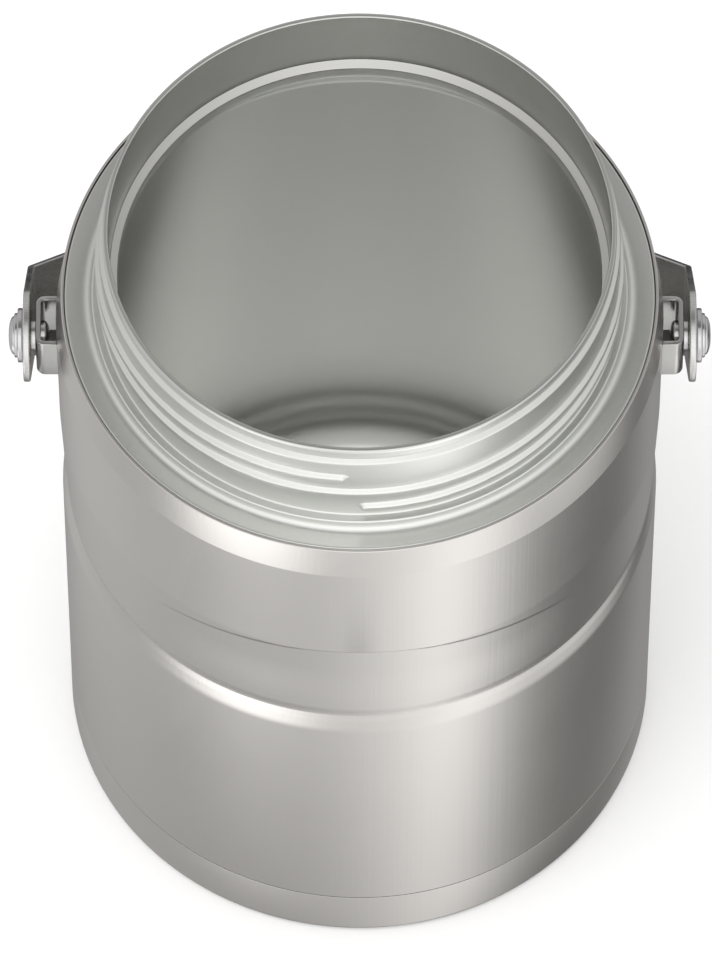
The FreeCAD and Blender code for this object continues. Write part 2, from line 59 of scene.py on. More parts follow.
# ------------------------------------------------------------------ shapes
def rounded(corners, step=0.0):
    """Closed outline in the (h, v) plane, in millimetres. A corner is (h, v) or (h, v, radius). Returns the points."""
    n = len(corners)
    P = [np.array(c[:2], float) for c in corners]
    out = []
    for i in range(n):
        p = P[i]
        radius = corners[i][2] if len(corners[i]) > 2 else 0.0
        if radius <= 0:
            out.append(p)
            continue
        a = P[i - 1] - p
        b = P[(i + 1) % n] - p
        a /= np.linalg.norm(a)
        b /= np.linalg.norm(b)
        half = math.acos(max(-1.0, min(1.0, float(a @ b)))) / 2
        turn = math.pi - 2 * half
        reach = radius / math.tan(half)
        centre = p + (a + b) / np.linalg.norm(a + b) * (radius / math.sin(half))
        s = p + a * reach - centre
        e = p + b * reach - centre
        a0 = math.atan2(s[1], s[0])
        d = math.atan2(s[0] * e[1] - s[1] * e[0], float(s @ e))
        k = max(3, int(math.ceil(abs(turn) / math.radians(9))))
        for j in range(k + 1):
            t = a0 + d * j / k
            out.append(centre + radius * np.array([math.cos(t), math.sin(t)]))
    return out


def refine(points, step, rule):
    """Splits the outline's long sides where rule(mid point) holds, so that a relief can be laid on them."""
    out = []
    n = len(points)
    for i in range(n):
        a, b = points[i], points[(i + 1) % n]
        out.append(a)
        length = float(np.linalg.norm(b - a))
        if length > step and rule((a + b) / 2):
            k = int(math.ceil(length / step))
            out += [a + (b - a) * j / k for j in range(1, k)]
    return out


def mesh_object(name, verts, faces, smooth=True, angle=32.0):
    mesh = bpy.data.meshes.new(name)
    mesh.from_pydata([tuple(v) for v in verts], [], [tuple(f) for f in faces])
    mesh.update()
    bm = bmesh.new()
    bm.from_mesh(mesh)
    bmesh.ops.recalc_face_normals(bm, faces=bm.faces)
    limit = math.radians(angle)
    for e in bm.edges:
        e.smooth = not (len(e.link_faces) == 2 and e.calc_face_angle(0.0) > limit)
    bm.to_mesh(mesh)
    bm.free()
    if smooth:
        mesh.polygons.foreach_set("use_smooth", [True] * len(mesh.polygons))
    obj = bpy.data.objects.new(name, mesh)
    scene.collection.objects.link(obj)
    return obj


def lathe(name, points, segments=384, relief=None, axis="Z", closed=True):
    """Turns an outline about the axis. relief(r, z, phi) gives the radius change in millimetres; phi is 0 at the front."""
    pts = np.array(points, float)
    n = len(pts)
    r, z = pts[:, 0].copy(), pts[:, 1].copy()
    pole = r < 1e-6
    phi = np.linspace(0, 2 * math.pi, segments, endpoint=False)
    verts, index = [], np.zeros((n, segments), int)
    blocks = []
    count = 0
    for i in range(n):
        if pole[i]:
            blocks.append(np.array([[0.0, 0.0, z[i]]]))
            index[i, :] = count
            count += 1
        else:
            rr = np.full(segments, r[i])
            zz = np.full(segments, z[i])
            if relief is not None:
                rr = rr + relief(r[i], z[i], phi)
            blocks.append(np.stack([rr * np.sin(phi), -rr * np.cos(phi), zz], 1))
            index[i, :] = count + np.arange(segments)
            count += segments
    co = np.concatenate(blocks) * MM
    faces = []
    last = n if closed and not (pole[0] and pole[-1]) else n - 1
    for i in range(last):
        k = (i + 1) % n
        for j in range(segments):
            m = (j + 1) % segments
            a, b, c, d = index[i, j], index[i, m], index[k, m], index[k, j]
            if pole[i] and pole[k]:
                continue
            if pole[i]:
                faces.append((a, c, d))
            elif pole[k]:
                faces.append((a, b, c))
            else:
                faces.append((a, b, c, d))
    if axis == "X":
        co = np.stack([co[:, 2], co[:, 0], co[:, 1]], 1)
    return mesh_object(name, co, faces)


def smooth01(t):
    t = np.clip(t, 0.0, 1.0)
    return t * t * (3 - 2 * t)


BODY = 60.5
WALL = 0.6
PIVOT = 139.6

# casing ------------------------------------------------------------
def casing_relief(r, z, phi):
    """Fine arched line across the front above the waist: the sheet draws in by a hair below it and fades out at the sides."""
    if r < BODY - 1.6 or not 84.0 < z < 124.0:
        return 0.0
    crease = -0.14 * smooth01((93.2 - z) / 2.8) * smooth01((z - 88.2) / 1.8)
    deg = np.degrees(np.where(phi > math.pi, phi - 2 * math.pi, phi))
    line = 117.9 - 4.1 * (deg / 33.0) ** 2
    fade = smooth01((46.0 - np.abs(deg)) / 12.0)
    below = smooth01((line - z) / 0.35) * smooth01((z - 95.0) / 14.0)
    return -0.2 * fade * below + crease


out = [
    (BODY - 2 * WALL - 0.15, 2.6),
    (BODY - WALL - 0.15, 2.6),
    (BODY - WALL - 0.15, 13.4, 0.5),
    (BODY, 14.45, 0.25),
    (BODY, 85.3, 12.0),
    (BODY - 0.85, 90.1, 1.2),
    (BODY, 117.5, 30.0),
    (BODY, 148.0, 1.2),
    (59.35, 156.0, 0.25),
    (58.8, 156.0),
    (BODY - WALL, 148.0, 1.0),
    (BODY - WALL, 117.5, 30.0),
    (BODY - 0.85 - WALL, 90.1, 1.8),
    (BODY - WALL, 85.3, 1.9),
    (BODY - WALL, 14.55),
    (BODY - 2 * WALL - 0.15, 13.4),
]
pts = refine(rounded(out), 0.3, lambda m: m[0] > BODY - 1.0 and 104.0 < m[1] < 122.0)
pts = refine(pts, 0.4, lambda m: m[0] > BODY - 1.2 and 84.0 < m[1] < 104.0)
casing = lathe("casing", pts, 480, casing_relief)

cup = [
    (0.0, 2.0),
    (50.0, 2.0, 1.0),
    (52.5, 0.0, 1.0),
    (BODY, 0.0, 1.5),
    (BODY, 14.3, 0.05),
    (BODY - WALL, 13.3),
    (BODY - WALL, 0.6, 0.9),
    (52.75, 0.6, 0.4),
    (50.25, 2.6, 1.6),
    (0.0, 2.6),
]
base = lathe("base", rounded(cup), 384)

# shoulder and neck ---------------------------------------------------
PITCH, TURNS, START = 5.43, 1.985, 160.45
PHI0 = math.radians(1.3)


def thread_relief(r, z, phi):
    if abs(r - 51.4) > 0.02 or not 158.0 < z < 174.5:
        return 0.0
    total = TURNS * 2 * math.pi
    height = np.zeros_like(phi)
    for lap in (-1, 0, 1, 2):
        along = phi - PHI0 + lap * 2 * math.pi
        inside = np.clip(along, 0.0, total)
        past = (along - inside) * 51.4
        middle = START + PITCH * inside / (2 * math.pi)
        w = z - middle + 0.22
        q = np.sqrt(past**2 + w**2)
        flank = np.where(w < 0, 0.55, 0.85)
        height = np.maximum(height, 0.9 * smooth01(1.0 - (q - 0.58) / flank))
    return height


neck = [
    (58.15, 152.6),
    (58.75, 152.6),
    (58.75, 156.05, 0.5),
    (53.3, 154.65, 1.6),
    (53.3, 157.2, 0.45),
    (51.4, 157.2, 0.5),
    (51.4, 176.2, 0.5),
    (50.35, 176.8, 0.12),
    (50.6, 177.3, 0.15),
    (50.6, 179.15),
    (50.05, 179.15),
    (50.05, 176.4),
    (50.8, 175.7),
    (50.8, 156.6),
    (52.7, 156.6),
    (52.7, 153.9, 0.4),
    (58.15, 155.38),
]
pts = refine(rounded(neck), 0.14, lambda m: abs(m[0] - 51.4) < 0.02)
neck_obj = lathe("neck", pts, 720, thread_relief)

# inner vessel ---------------------------------------------------------
liner = [
    (54.5, 26.0),
    (55.0, 26.0),
    (55.0, 149.2, 6.0),
    (48.4, 160.6, 3.0),
    (48.4, 163.2, 0.4),
    (50.0, 164.2, 0.4),
    (50.0, 179.17),
    (50.6, 179.17),
    (50.6, 180.0, 0.4),
    (49.5, 180.0, 0.4),
    (49.5, 164.5, 0.3),
    (47.9, 163.5, 0.4),
    (47.9, 160.4, 3.5),
    (54.5, 149.0, 5.5),
]
vessel = lathe("vessel", rounded(liner), 480)
floor_pts = [
    (0.0, 12.3),
    (55.0, 11.5, 13.0),
    (55.0, 26.0),
    (54.5, 26.0),
    (54.5, 12.0, 12.5),
    (0.0, 12.8),
]
vessel_floor = lathe("vessel_floor", rounded(floor_pts), 384)


# flat outlines made solid, with softened edges --------------------------
def plate(name, loops, thickness, bevel, steps=3):
    """A flat solid between loops (the first is the outside, others are holes), centred on z = 0, edges softened."""
    curve = bpy.data.curves.new(name, "CURVE")
    curve.dimensions = "2D"
    curve.fill_mode = "BOTH"
    curve.extrude = thickness / 2 - bevel
    curve.bevel_depth = bevel
    curve.bevel_resolution = steps
    curve.offset = -bevel
    for loop in loops:
        spline = curve.splines.new("POLY")
        spline.points.add(len(loop) - 1)
        for p, q in zip(spline.points, loop):
            p.co = (q[0], q[1], 0.0, 1.0)
        spline.use_cyclic_u = True
    temp = bpy.data.objects.new(name, curve)
    scene.collection.objects.link(temp)
    bpy.context.view_layer.update()
    mesh = bpy.data.meshes.new_from_object(
        temp.evaluated_get(bpy.context.evaluated_depsgraph_get())
    )
    bpy.data.objects.remove(temp)
    bpy.data.curves.remove(curve)
    bm = bmesh.new()
    bm.from_mesh(mesh)
    bmesh.ops.remove_doubles(bm, verts=bm.verts, dist=0.0005)
    bmesh.ops.recalc_face_normals(bm, faces=bm.faces)
    return bm, mesh


def finish_plate(bm, mesh, name, angle=40.0):
    limit = math.radians(angle)
    bmesh.ops.recalc_face_normals(bm, faces=bm.faces)
    for e in bm.edges:
        e.smooth = not (len(e.link_faces) == 2 and e.calc_face_angle(0.0) > limit)
    for f in bm.faces:
        f.smooth = True
    bm.to_mesh(mesh)
    bm.free()
    obj = bpy.data.objects.new(name, mesh)
    scene.collection.objects.link(obj)
    return obj


# carry handle -------------------------------------------------------------
ARM, REACH, SLANT, STRAP_IN, T, WIDTH = 27.9, 104.0, math.radians(23.0), 65.7, 1.4, 18.6
# centre line of the right half, from the rounded end to the middle of the crossbar: straight, bend, straight, bend, straight
XC = STRAP_IN + T / 2
half_t = T / 2
R1, R2 = 1.5 + half_t, 7.0 + half_t
bend_a = ARM + half_t * math.tan(SLANT / 2)
corner2 = (XC - (REACH + half_t - bend_a) * math.tan(SLANT), REACH + half_t)
turn1, turn2 = SLANT, math.pi / 2 - SLANT
len1 = bend_a - R1 * math.tan(turn1 / 2)
arc1 = R1 * turn1
slope = math.hypot(XC - corner2[0], corner2[1] - bend_a)
len2 = slope - R1 * math.tan(turn1 / 2) - R2 * math.tan(turn2 / 2)
arc2 = R2 * turn2
len3 = corner2[0] - R2 * math.tan(turn2 / 2)
HALF_LENGTH = len1 + arc1 + len2 + arc2 + len3


def along(u):
    """Centre-line point (x, s), direction and outward normal of the right half at length u from the pivot."""
    if u <= len1:
        return (XC, u), (0.0, 1.0)
    u -= len1
    if u <= arc1:
        a = u / R1
        cx, cy = XC - R1, len1
        return (cx + R1 * math.cos(a), cy + R1 * math.sin(a)), (-math.sin(a), math.cos(a))
    u -= arc1
    a = turn1
    x0, y0 = XC - R1 + R1 * math.cos(a), len1 + R1 * math.sin(a)
    d = (-math.sin(a), math.cos(a))
    if u <= len2:
        return (x0 + d[0] * u, y0 + d[1] * u), d
    u -= len2
    x0, y0 = x0 + d[0] * len2, y0 + d[1] * len2
    cx, cy = x0 - R2 * math.cos(a), y0 - R2 * math.sin(a)
    if u <= arc2:
        b = a + u / R2
        return (cx + R2 * math.cos(b), cy + R2 * math.sin(b)), (-math.sin(b), math.cos(b))
    u -= arc2
    return (cx - u, cy + R2), (-1.0, 0.0)


def half_round(sign, n=40):
    """The rounded end beyond the pivot, as points (u, w)."""
    edge = WIDTH / 2
    pts = []
    for j in range(n + 1):
        t = math.pi / 2 + math.pi * j / n
        pts.append((sign * (HALF_LENGTH + (-edge * math.cos(t) if sign > 0 else -edge * math.cos(t))), edge * math.sin(t)))
    return pts


edge = WIDTH / 2
outline = []
for j in range(41):
    t = -math.pi / 2 + math.pi * j / 40
    outline.append((HALF_LENGTH + edge * math.cos(t), edge * math.sin(t)))
for j in range(41):
    t = math.pi / 2 + math.pi * j / 40
    outline.append((-HALF_LENGTH + edge * math.cos(t), edge * math.sin(t)))
holes = []
for c in (HALF_LENGTH, -HALF_LENGTH):
    holes.append([(c + 2.06 * math.cos(-t), 2.06 * math.sin(-t)) for t in np.linspace(0, 2 * math.pi, 36, endpoint=False)])
bm, mesh = plate("handle", [outline] + holes, T, 0.34, 3)
cuts = []
for c in (-1, 1):
    u = HALF_LENGTH - len1
    for k in range(0, 7):
        cuts.append(c * (HALF_LENGTH - len1 - arc1 * k / 6))
    for k in range(1, 12):
        cuts.append(c * (HALF_LENGTH - len1 - arc1 - len2 * k / 12))
    for k in range(0, 19):
        cuts.append(c * (HALF_LENGTH - len1 - arc1 - len2 - arc2 * k / 18))
    for k in range(1, 5):
        cuts.append(c * len3 * k / 5)
    for k in range(0, 5):
        cuts.append(c * (HALF_LENGTH - len1 * k / 5))
cuts.append(0.0)
for c in sorted(set(round(v, 5) for v in cuts)):
    geom = bm.verts[:] + bm.edges[:] + bm.faces[:]
    bmesh.ops.bisect_plane(bm, geom=geom, plane_co=(c, 0, 0), plane_no=(1, 0, 0), dist=1e-5)
uv = bm.loops.layers.uv.new("strip")
for f in bm.faces:
    for loop in f.loops:
        loop[uv].uv = (loop.vert.co.x / 100.0, loop.vert.co.y / 100.0)
rest = math.radians(49.0)
s_dir = Vector((0.0, math.cos(rest), -math.sin(rest)))
w_dir = Vector((0.0, math.sin(rest), math.cos(rest)))
pivot = Vector((0.0, 0.0, PIVOT))
for v in bm.verts:
    u, w, t = v.co
    side = 1.0 if u >= 0 else -1.0
    (x, s), d = along(HALF_LENGTH - abs(u))
    nx, ns = d[1], -d[0]
    x, s = x + nx * t, s + ns * t
    v.co = (pivot + Vector((side * x, 0, 0)) + s_dir * s + w_dir * w) * MM
handle = finish_plate(bm, mesh, "handle", 30.0)

# brackets ------------------------------------------------------------------
seat = BODY + 0.05
profile = rounded(
    [
        (seat - 0.269, -5.7),
        (64.6, -5.7, 1.8),
        (64.6, 5.7, 1.8),
        (seat - 0.269, 5.7),
        (seat - 0.183, 4.7),
        (63.6, 4.7, 0.8),
        (63.6, -4.7, 0.8),
        (seat - 0.183, -4.7),
    ]
)
brackets = {}
for side, turn in (("right", 0.0), ("left", math.pi)):
    bm, mesh = plate("bracket_" + side, [[tuple(p) for p in profile]], 11.6, 0.16, 2)
    bmesh.ops.transform(
        bm,
        verts=bm.verts,
        matrix=Matrix.Scale(MM, 4) @ Matrix.Translation((0, 0, PIVOT)) @ Matrix.Rotation(turn, 4, "Z"),
    )
    brackets[side] = finish_plate(bm, mesh, "bracket_" + side, 32.0)

# rivets, bushes and washers ---------------------------------------------------
def on_pivot(name, corners, side):
    """Turned about the pivot axis; a corner is (x, radius) or (x, radius, rounding)."""
    pts = rounded([(c[1], c[0]) + tuple(c[2:]) for c in corners])
    obj = lathe(name, pts, 96, axis="X")
    turn = Matrix.Rotation(math.pi if side == "left" else 0.0, 4, "Z")
    obj.data.transform(Matrix.Translation((0, 0, PIVOT * MM)) @ turn)
    return obj


fittings = {}
for side in ("right", "left"):
    dome = [(68.84, 4.45, 0.18), (68.98, 4.18, 0.05), (68.98, 3.86)]
    for k in range(0, 12):
        a = math.radians(90.0 * k / 12)
        dome.append((69.02 + 1.08 * math.sin(a), 3.86 * math.cos(a) ** 0.8))
    tail = []
    for k in range(1, 12):
        a = math.radians(90.0 * k / 12)
        tail.append((62.9 - 1.0 * math.cos(a), 3.0 * math.sin(a) ** 0.9))
    fittings["pivot_rivet_" + side] = on_pivot(
        "rivet_" + side,
        [(61.9, 0.0)]
        + tail
        + [(62.95, 3.0, 0.05), (63.58, 3.0), (63.58, 2.0), (68.32, 2.0), (68.32, 4.45, 0.06)]
        + dome
        + [(70.1, 0.0)],
        side,
    )
    fittings["spacer_bush_" + side] = on_pivot(
        "bush_" + side,
        [(64.61, 2.05), (64.61, 2.9, 0.15), (65.65, 2.9, 0.15), (65.65, 2.05)],
        side,
    )
    fittings["pivot_washer_" + side] = on_pivot(
        "washer_" + side,
        [(67.2, 2.05), (67.2, 5.45, 0.3), (68.3, 5.45, 0.3), (68.3, 4.7), (68.18, 4.6), (68.18, 2.05)],
        side,
    )


# ------------------------------------------------------------------ materials
def new_material(name, base, metallic, roughness):
    m = bpy.data.materials.new(name)
    m.use_nodes = True
    nt = m.node_tree
    p = nt.nodes["Principled BSDF"]
    p.inputs["Base Color"].default_value = (*base, 1.0)
    p.inputs["Metallic"].default_value = metallic
    p.inputs["Roughness"].default_value = roughness
    return m, nt, p


def add(nt, kind, **values):
    node = nt.nodes.new(kind)
    for key, value in values.items():
        if key in node.inputs:
            node.inputs[key].default_value = value
        else:
            setattr(node, key, value)
    return node


def noise(nt, vector, scale, detail=2.0, rough=0.5):
    n = add(nt, "ShaderNodeTexNoise")
    n.inputs["Scale"].default_value = scale
    n.inputs["Detail"].default_value = detail
    n.inputs["Roughness"].default_value = rough
    nt.links.new(vector, n.inputs["Vector"])
    return n.outputs["Fac"]


def map_range(nt, value, lo, hi, to_lo, to_hi):
    n = add(nt, "ShaderNodeMapRange")
    for key, v in (("From Min", lo), ("From Max", hi), ("To Min", to_lo), ("To Max", to_hi)):
        n.inputs[key].default_value = v
    nt.links.new(value, n.inputs["Value"])
    return n.outputs["Result"]


def math_node(nt, op, a, b=None):
    n = add(nt, "ShaderNodeMath", operation=op)
    for i, v in enumerate((a, b)):
        if v is None:
            continue
        if isinstance(v, (int, float)):
            n.inputs[i].default_value = v
        else:
            nt.links.new(v, n.inputs[i])
    return n.outputs[0]


def stretched(nt, source, scale):
    m = add(nt, "ShaderNodeMapping")
    m.inputs["Scale"].default_value = scale
    nt.links.new(source, m.inputs["Vector"])
    return m.outputs["Vector"]


def ring_vector(nt, along_scale, round_scale):
    """Coordinates that follow the jar's turning: fine along the axis and the radius, long around it."""
    tc = add(nt, "ShaderNodeTexCoord")
    sep = add(nt, "ShaderNodeSeparateXYZ")
    nt.links.new(tc.outputs["Object"], sep.inputs[0])
    x2 = math_node(nt, "MULTIPLY", sep.outputs["X"], sep.outputs["X"])
    y2 = math_node(nt, "MULTIPLY", sep.outputs["Y"], sep.outputs["Y"])
    rad = math_node(nt, "SQRT", math_node(nt, "ADD", x2, y2))
    ang = math_node(nt, "ARCTAN2", sep.outputs["X"], sep.outputs["Y"])
    # the angle enters through sine and cosine, so the pattern closes on itself
    sin = math_node(nt, "MULTIPLY", math_node(nt, "SINE", ang), round_scale)
    cos = math_node(nt, "MULTIPLY", math_node(nt, "COSINE", ang), round_scale)
    run = math_node(nt, "MULTIPLY", math_node(nt, "ADD", sep.outputs["Z"], rad), along_scale)
    comb = add(nt, "ShaderNodeCombineXYZ")
    nt.links.new(sin, comb.inputs[0])
    nt.links.new(cos, comb.inputs[1])
    nt.links.new(run, comb.inputs[2])
    return comb.outputs[0]


def tint(nt, p, value, dark, light):
    mix = add(nt, "ShaderNodeMix", data_type="RGBA")
    mix.inputs["A"].default_value = (*dark, 1.0)
    mix.inputs["B"].default_value = (*light, 1.0)
    nt.links.new(value, mix.inputs["Factor"])
    nt.links.new(mix.outputs["Result"], p.inputs["Base Color"])


def bump(nt, p, parts):
    """parts: (height output, distance in metres)"""
    normal = None
    for height, distance in parts:
        b = add(nt, "ShaderNodeBump")
        b.inputs["Strength"].default_value = 1.0
        b.inputs["Distance"].default_value = distance
        nt.links.new(height, b.inputs["Height"])
        if normal is not None:
            nt.links.new(normal, b.inputs["Normal"])
        normal = b.outputs["Normal"]
    nt.links.new(normal, p.inputs["Normal"])


def satin(name, dark, light, rough, grain=1.0, rings=0.0, blotch=0.03, streaks=0.0):
    m, nt, p = new_material(name, light, 1.0, rough)
    tc = add(nt, "ShaderNodeTexCoord")
    obj = tc.outputs["Object"]
    cloud = noise(nt, obj, 22.0, 3.0, 0.55)
    fine = noise(nt, obj, 2200.0, 2.0, 0.6)
    speck = noise(nt, obj, 900.0, 2.0, 0.55)
    tint(nt, p, map_range(nt, math_node(nt, "ADD", math_node(nt, "MULTIPLY", cloud, 0.7), math_node(nt, "MULTIPLY", speck, 0.3)), 0.32, 0.68, 0.0, 1.0), dark, light)
    r = map_range(nt, cloud, 0.3, 0.7, rough - blotch, rough + blotch)
    r = math_node(nt, "ADD", r, map_range(nt, speck, 0.3, 0.7, -0.008, 0.008))
    nt.links.new(r, p.inputs["Roughness"])
    parts = [(fine, 1.4e-5 * grain), (speck, 1.2e-5 * grain)]
    if rings:
        turned = noise(nt, ring_vector(nt, 2600.0, 3.0), 1.0, 2.0, 0.5)
        parts.append((turned, 6.0e-6 * rings))
    if streaks:
        line = noise(nt, stretched(nt, obj, (1500.0, 1500.0, 7.0)), 1.0, 2.0, 0.6)
        parts.append((line, 5.0e-6 * streaks))
    bump(nt, p, parts)
    return m


casing_mat = satin("casing_satin", (0.600, 0.583, 0.563), (0.622, 0.605, 0.585), 0.31, 0.05, 0.0, 0.008, 3.0)
neck_mat = satin("neck_satin", (0.665, 0.672, 0.650), (0.715, 0.722, 0.700), 0.32, 0.15, 1.0)
vessel_mat = satin("vessel_satin", (0.86, 0.865, 0.845), (0.875, 0.88, 0.86), 0.30, 0.0, 0.3, 0.008)
nt = vessel_mat.node_tree
p = nt.nodes["Principled BSDF"]
tc = add(nt, "ShaderNodeTexCoord")
sep = add(nt, "ShaderNodeSeparateXYZ")
nt.links.new(tc.outputs["Object"], sep.inputs[0])
# Painted shade: the narrow ledge band inside the neck (z 163.2 to 164.8 mm) is greyed towards (0.50, 0.50, 0.485). The
# top of the lip is greyed the same way, rising to 0.8 from z 179.55 mm to its top edge.
ledge_painted_shade = math_node(nt, "MULTIPLY", map_range(nt, sep.outputs["Z"], 0.1632, 0.1635, 0.0, 1.0), map_range(nt, sep.outputs["Z"], 0.1645, 0.1648, 1.0, 0.0))
lip = map_range(nt, sep.outputs["Z"], 0.17955, 0.17985, 0.0, 0.8)
shade = add(nt, "ShaderNodeMix", data_type="RGBA")
nt.links.new(math_node(nt, "MAXIMUM", ledge_painted_shade, lip), shade.inputs["Factor"])
source = p.inputs["Base Color"].links[0].from_socket
nt.links.new(source, shade.inputs[6])
shade.inputs[7].default_value = (0.50, 0.50, 0.485, 1.0)
nt.links.new(shade.outputs[2], p.inputs["Base Color"])
bracket_mat = satin("bracket_sheet", (0.47, 0.47, 0.46), (0.53, 0.53, 0.52), 0.24, 0.4)
plain_mat = satin("plain_sheet", (0.50, 0.50, 0.49), (0.56, 0.56, 0.55), 0.38, 0.8)

handle_mat, nt, p = new_material("handle_strip", (0.50, 0.50, 0.49), 1.0, 0.3)
uvn = add(nt, "ShaderNodeUVMap", uv_map="strip")
lines = noise(nt, stretched(nt, uvn.outputs["UV"], (14.0, 1500.0, 1.0)), 1.0, 3.0, 0.6)
cloud = noise(nt, stretched(nt, uvn.outputs["UV"], (3.0, 9.0, 1.0)), 1.0, 2.0, 0.5)
tint(nt, p, map_range(nt, lines, 0.3, 0.7, 0.0, 1.0), (0.54, 0.54, 0.535), (0.64, 0.64, 0.63))
nt.links.new(math_node(nt, "ADD", map_range(nt, lines, 0.3, 0.7, 0.22, 0.34), map_range(nt, cloud, 0.3, 0.7, -0.03, 0.03)), p.inputs["Roughness"])
bump(nt, p, [(lines, 1.0e-5)])

chrome_mat, nt, p = new_material("polished_fittings", (0.80, 0.80, 0.815), 1.0, 0.12)
tc = add(nt, "ShaderNodeTexCoord")
wipe = noise(nt, tc.outputs["Object"], 260.0, 3.0, 0.6)
tint(nt, p, map_range(nt, wipe, 0.3, 0.7, 0.0, 1.0), (0.52, 0.52, 0.53), (0.62, 0.62, 0.63))
nt.links.new(map_range(nt, wipe, 0.3, 0.7, 0.13, 0.24), p.inputs["Roughness"])
bump(nt, p, [(noise(nt, tc.outputs["Object"], 1500.0, 2.0, 0.5), 3.0e-6)])

foil_mat, nt, p = new_material("crinkled_foil", (0.82, 0.82, 0.82), 1.0, 0.2)
tc = add(nt, "ShaderNodeTexCoord")
crease = noise(nt, tc.outputs["Object"], 160.0, 4.0, 0.7)
tint(nt, p, crease, (0.76, 0.76, 0.76), (0.88, 0.88, 0.87))
nt.links.new(map_range(nt, crease, 0.3, 0.7, 0.14, 0.3), p.inputs["Roughness"])
bump(nt, p, [(crease, 3.0e-4)])

bead_mat, nt, p = new_material("seal_bead", (0.30, 0.26, 0.20), 0.0, 0.15)
tc = add(nt, "ShaderNodeTexCoord")
swirl = noise(nt, tc.outputs["Object"], 700.0, 3.0, 0.6)
tint(nt, p, swirl, (0.22, 0.18, 0.13), (0.38, 0.33, 0.26))
nt.links.new(map_range(nt, swirl, 0.3, 0.7, 0.1, 0.25), p.inputs["Roughness"])
bump(nt, p, [(swirl, 3.0e-5)])

getter_mat, nt, p = new_material("getter_sinter", (0.15, 0.15, 0.16), 0.3, 0.8)
tc = add(nt, "ShaderNodeTexCoord")
grit = noise(nt, tc.outputs["Object"], 2600.0, 3.0, 0.7)
tint(nt, p, grit, (0.09, 0.09, 0.10), (0.22, 0.22, 0.23))
nt.links.new(map_range(nt, grit, 0.3, 0.7, 0.7, 0.92), p.inputs["Roughness"])
bump(nt, p, [(grit, 6.0e-5)])


def dress(obj, mat):
    obj.data.materials.clear()
    obj.data.materials.append(mat)


def place(obj, mat, node, body="jar"):
    dress(obj, mat)
    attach(obj, body)
    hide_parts(node)


place(casing, casing_mat, "outer_shell")
place(base, casing_mat, "base_cup")
place(neck_obj, neck_mat, "shoulder_neck")
place(vessel, vessel_mat, "inner_wall")
place(vessel_floor, vessel_mat, "inner_bottom")
place(handle, handle_mat, "carry_handle", "handle")
for side, obj in brackets.items():
    place(obj, bracket_mat, "handle_bracket_" + side)
for node, obj in fittings.items():
    place(obj, chrome_mat, node)
for node, mat in (
    ("radiation_foil", foil_mat),
    ("foil_disc", foil_mat),
    ("closure_plate", plain_mat),
    ("getter_clip", plain_mat),
    ("evacuation_plug", bead_mat),
    ("getter_tablet", getter_mat),
):
    dress(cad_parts[node], mat)

# ------------------------------------------------------------------ floor and light
floor_mesh = bpy.data.meshes.new("floor")
E = 6.0
floor_mesh.from_pydata([(-E, -E, 0), (E, -E, 0), (E, E, 0), (-E, E, 0)], [], [(0, 1, 2, 3)])
floor = bpy.data.objects.new("floor", floor_mesh)
floor.location.z = -0.0002
scene.collection.objects.link(floor)
floor_mat, nt, p = new_material("floor_paint_and_reflected_shadow", (0.93, 0.93, 0.93), 0.0, 0.9)
p.inputs["Specular IOR Level"].default_value = 0.0
geo = add(nt, "ShaderNodeNewGeometry")
sep = add(nt, "ShaderNodeSeparateXYZ")
nt.links.new(geo.outputs["Position"], sep.inputs[0])
r2 = math_node(nt, "ADD", math_node(nt, "POWER", sep.outputs["X"], 2.0), math_node(nt, "POWER", sep.outputs["Y"], 2.0))
dist = math_node(nt, "SQRT", r2)
# Painted shadow: glossy rays see a dark emitting ring round the jar's foot, fading out from 60 to 122 mm, so the
# casing's reflection darkens towards the bottom like a contact shadow. Elsewhere glossy rays pass through to the
# studio, and camera and diffuse rays see the plain floor.
shadow_ring_weight = map_range(nt, dist, 0.060, 0.122, 0.36, 0.0)
clear = add(nt, "ShaderNodeBsdfTransparent")
reflected_contact_shadow = add(nt, "ShaderNodeEmission")
reflected_contact_shadow.inputs["Color"].default_value = (0.30, 0.29, 0.28, 1.0)
seen = add(nt, "ShaderNodeMixShader")
nt.links.new(shadow_ring_weight, seen.inputs[0])
nt.links.new(clear.outputs[0], seen.inputs[1])
nt.links.new(reflected_contact_shadow.outputs[0], seen.inputs[2])
path = add(nt, "ShaderNodeLightPath")
pick = add(nt, "ShaderNodeMixShader")
nt.links.new(path.outputs["Is Glossy Ray"], pick.inputs[0])
nt.links.new(p.outputs[0], pick.inputs[1])
nt.links.new(seen.outputs[0], pick.inputs[2])
nt.links.new(pick.outputs[0], nt.nodes["Material Output"].inputs["Surface"])
grit = noise(nt, geo.outputs["Position"], 400.0, 2.0, 0.5)
tint(nt, p, grit, (0.925, 0.925, 0.925), (0.94, 0.94, 0.94))
floor_mesh.materials.append(floor_mat)

world = bpy.data.worlds.new("studio")
scene.world = world
world.use_nodes = True
nt = world.node_tree
nt.nodes.clear()
tc = add(nt, "ShaderNodeTexCoord")


def lobe(azimuth, elevation, width, strength, soft=1.0):
    """A soft round light in the studio: azimuth 0 is the front, 90 the right; elevation below 0 is under the level."""
    a, e = math.radians(azimuth), math.radians(elevation)
    d = (math.sin(a) * math.cos(e), -math.cos(a) * math.cos(e), math.sin(e))
    dot = add(nt, "ShaderNodeVectorMath", operation="DOT_PRODUCT")
    nt.links.new(tc.outputs["Generated"], dot.inputs[0])
    dot.inputs[1].default_value = d
    n = add(nt, "ShaderNodeMapRange")
    n.interpolation_type = "SMOOTHSTEP"
    n.inputs["From Min"].default_value = math.cos(math.radians(width))
    n.inputs["From Max"].default_value = math.cos(math.radians(width * 0.15))
    n.inputs["To Min"].default_value = 0.0
    n.inputs["To Max"].default_value = strength
    nt.links.new(dot.outputs["Value"], n.inputs["Value"])
    return n.outputs["Result"]


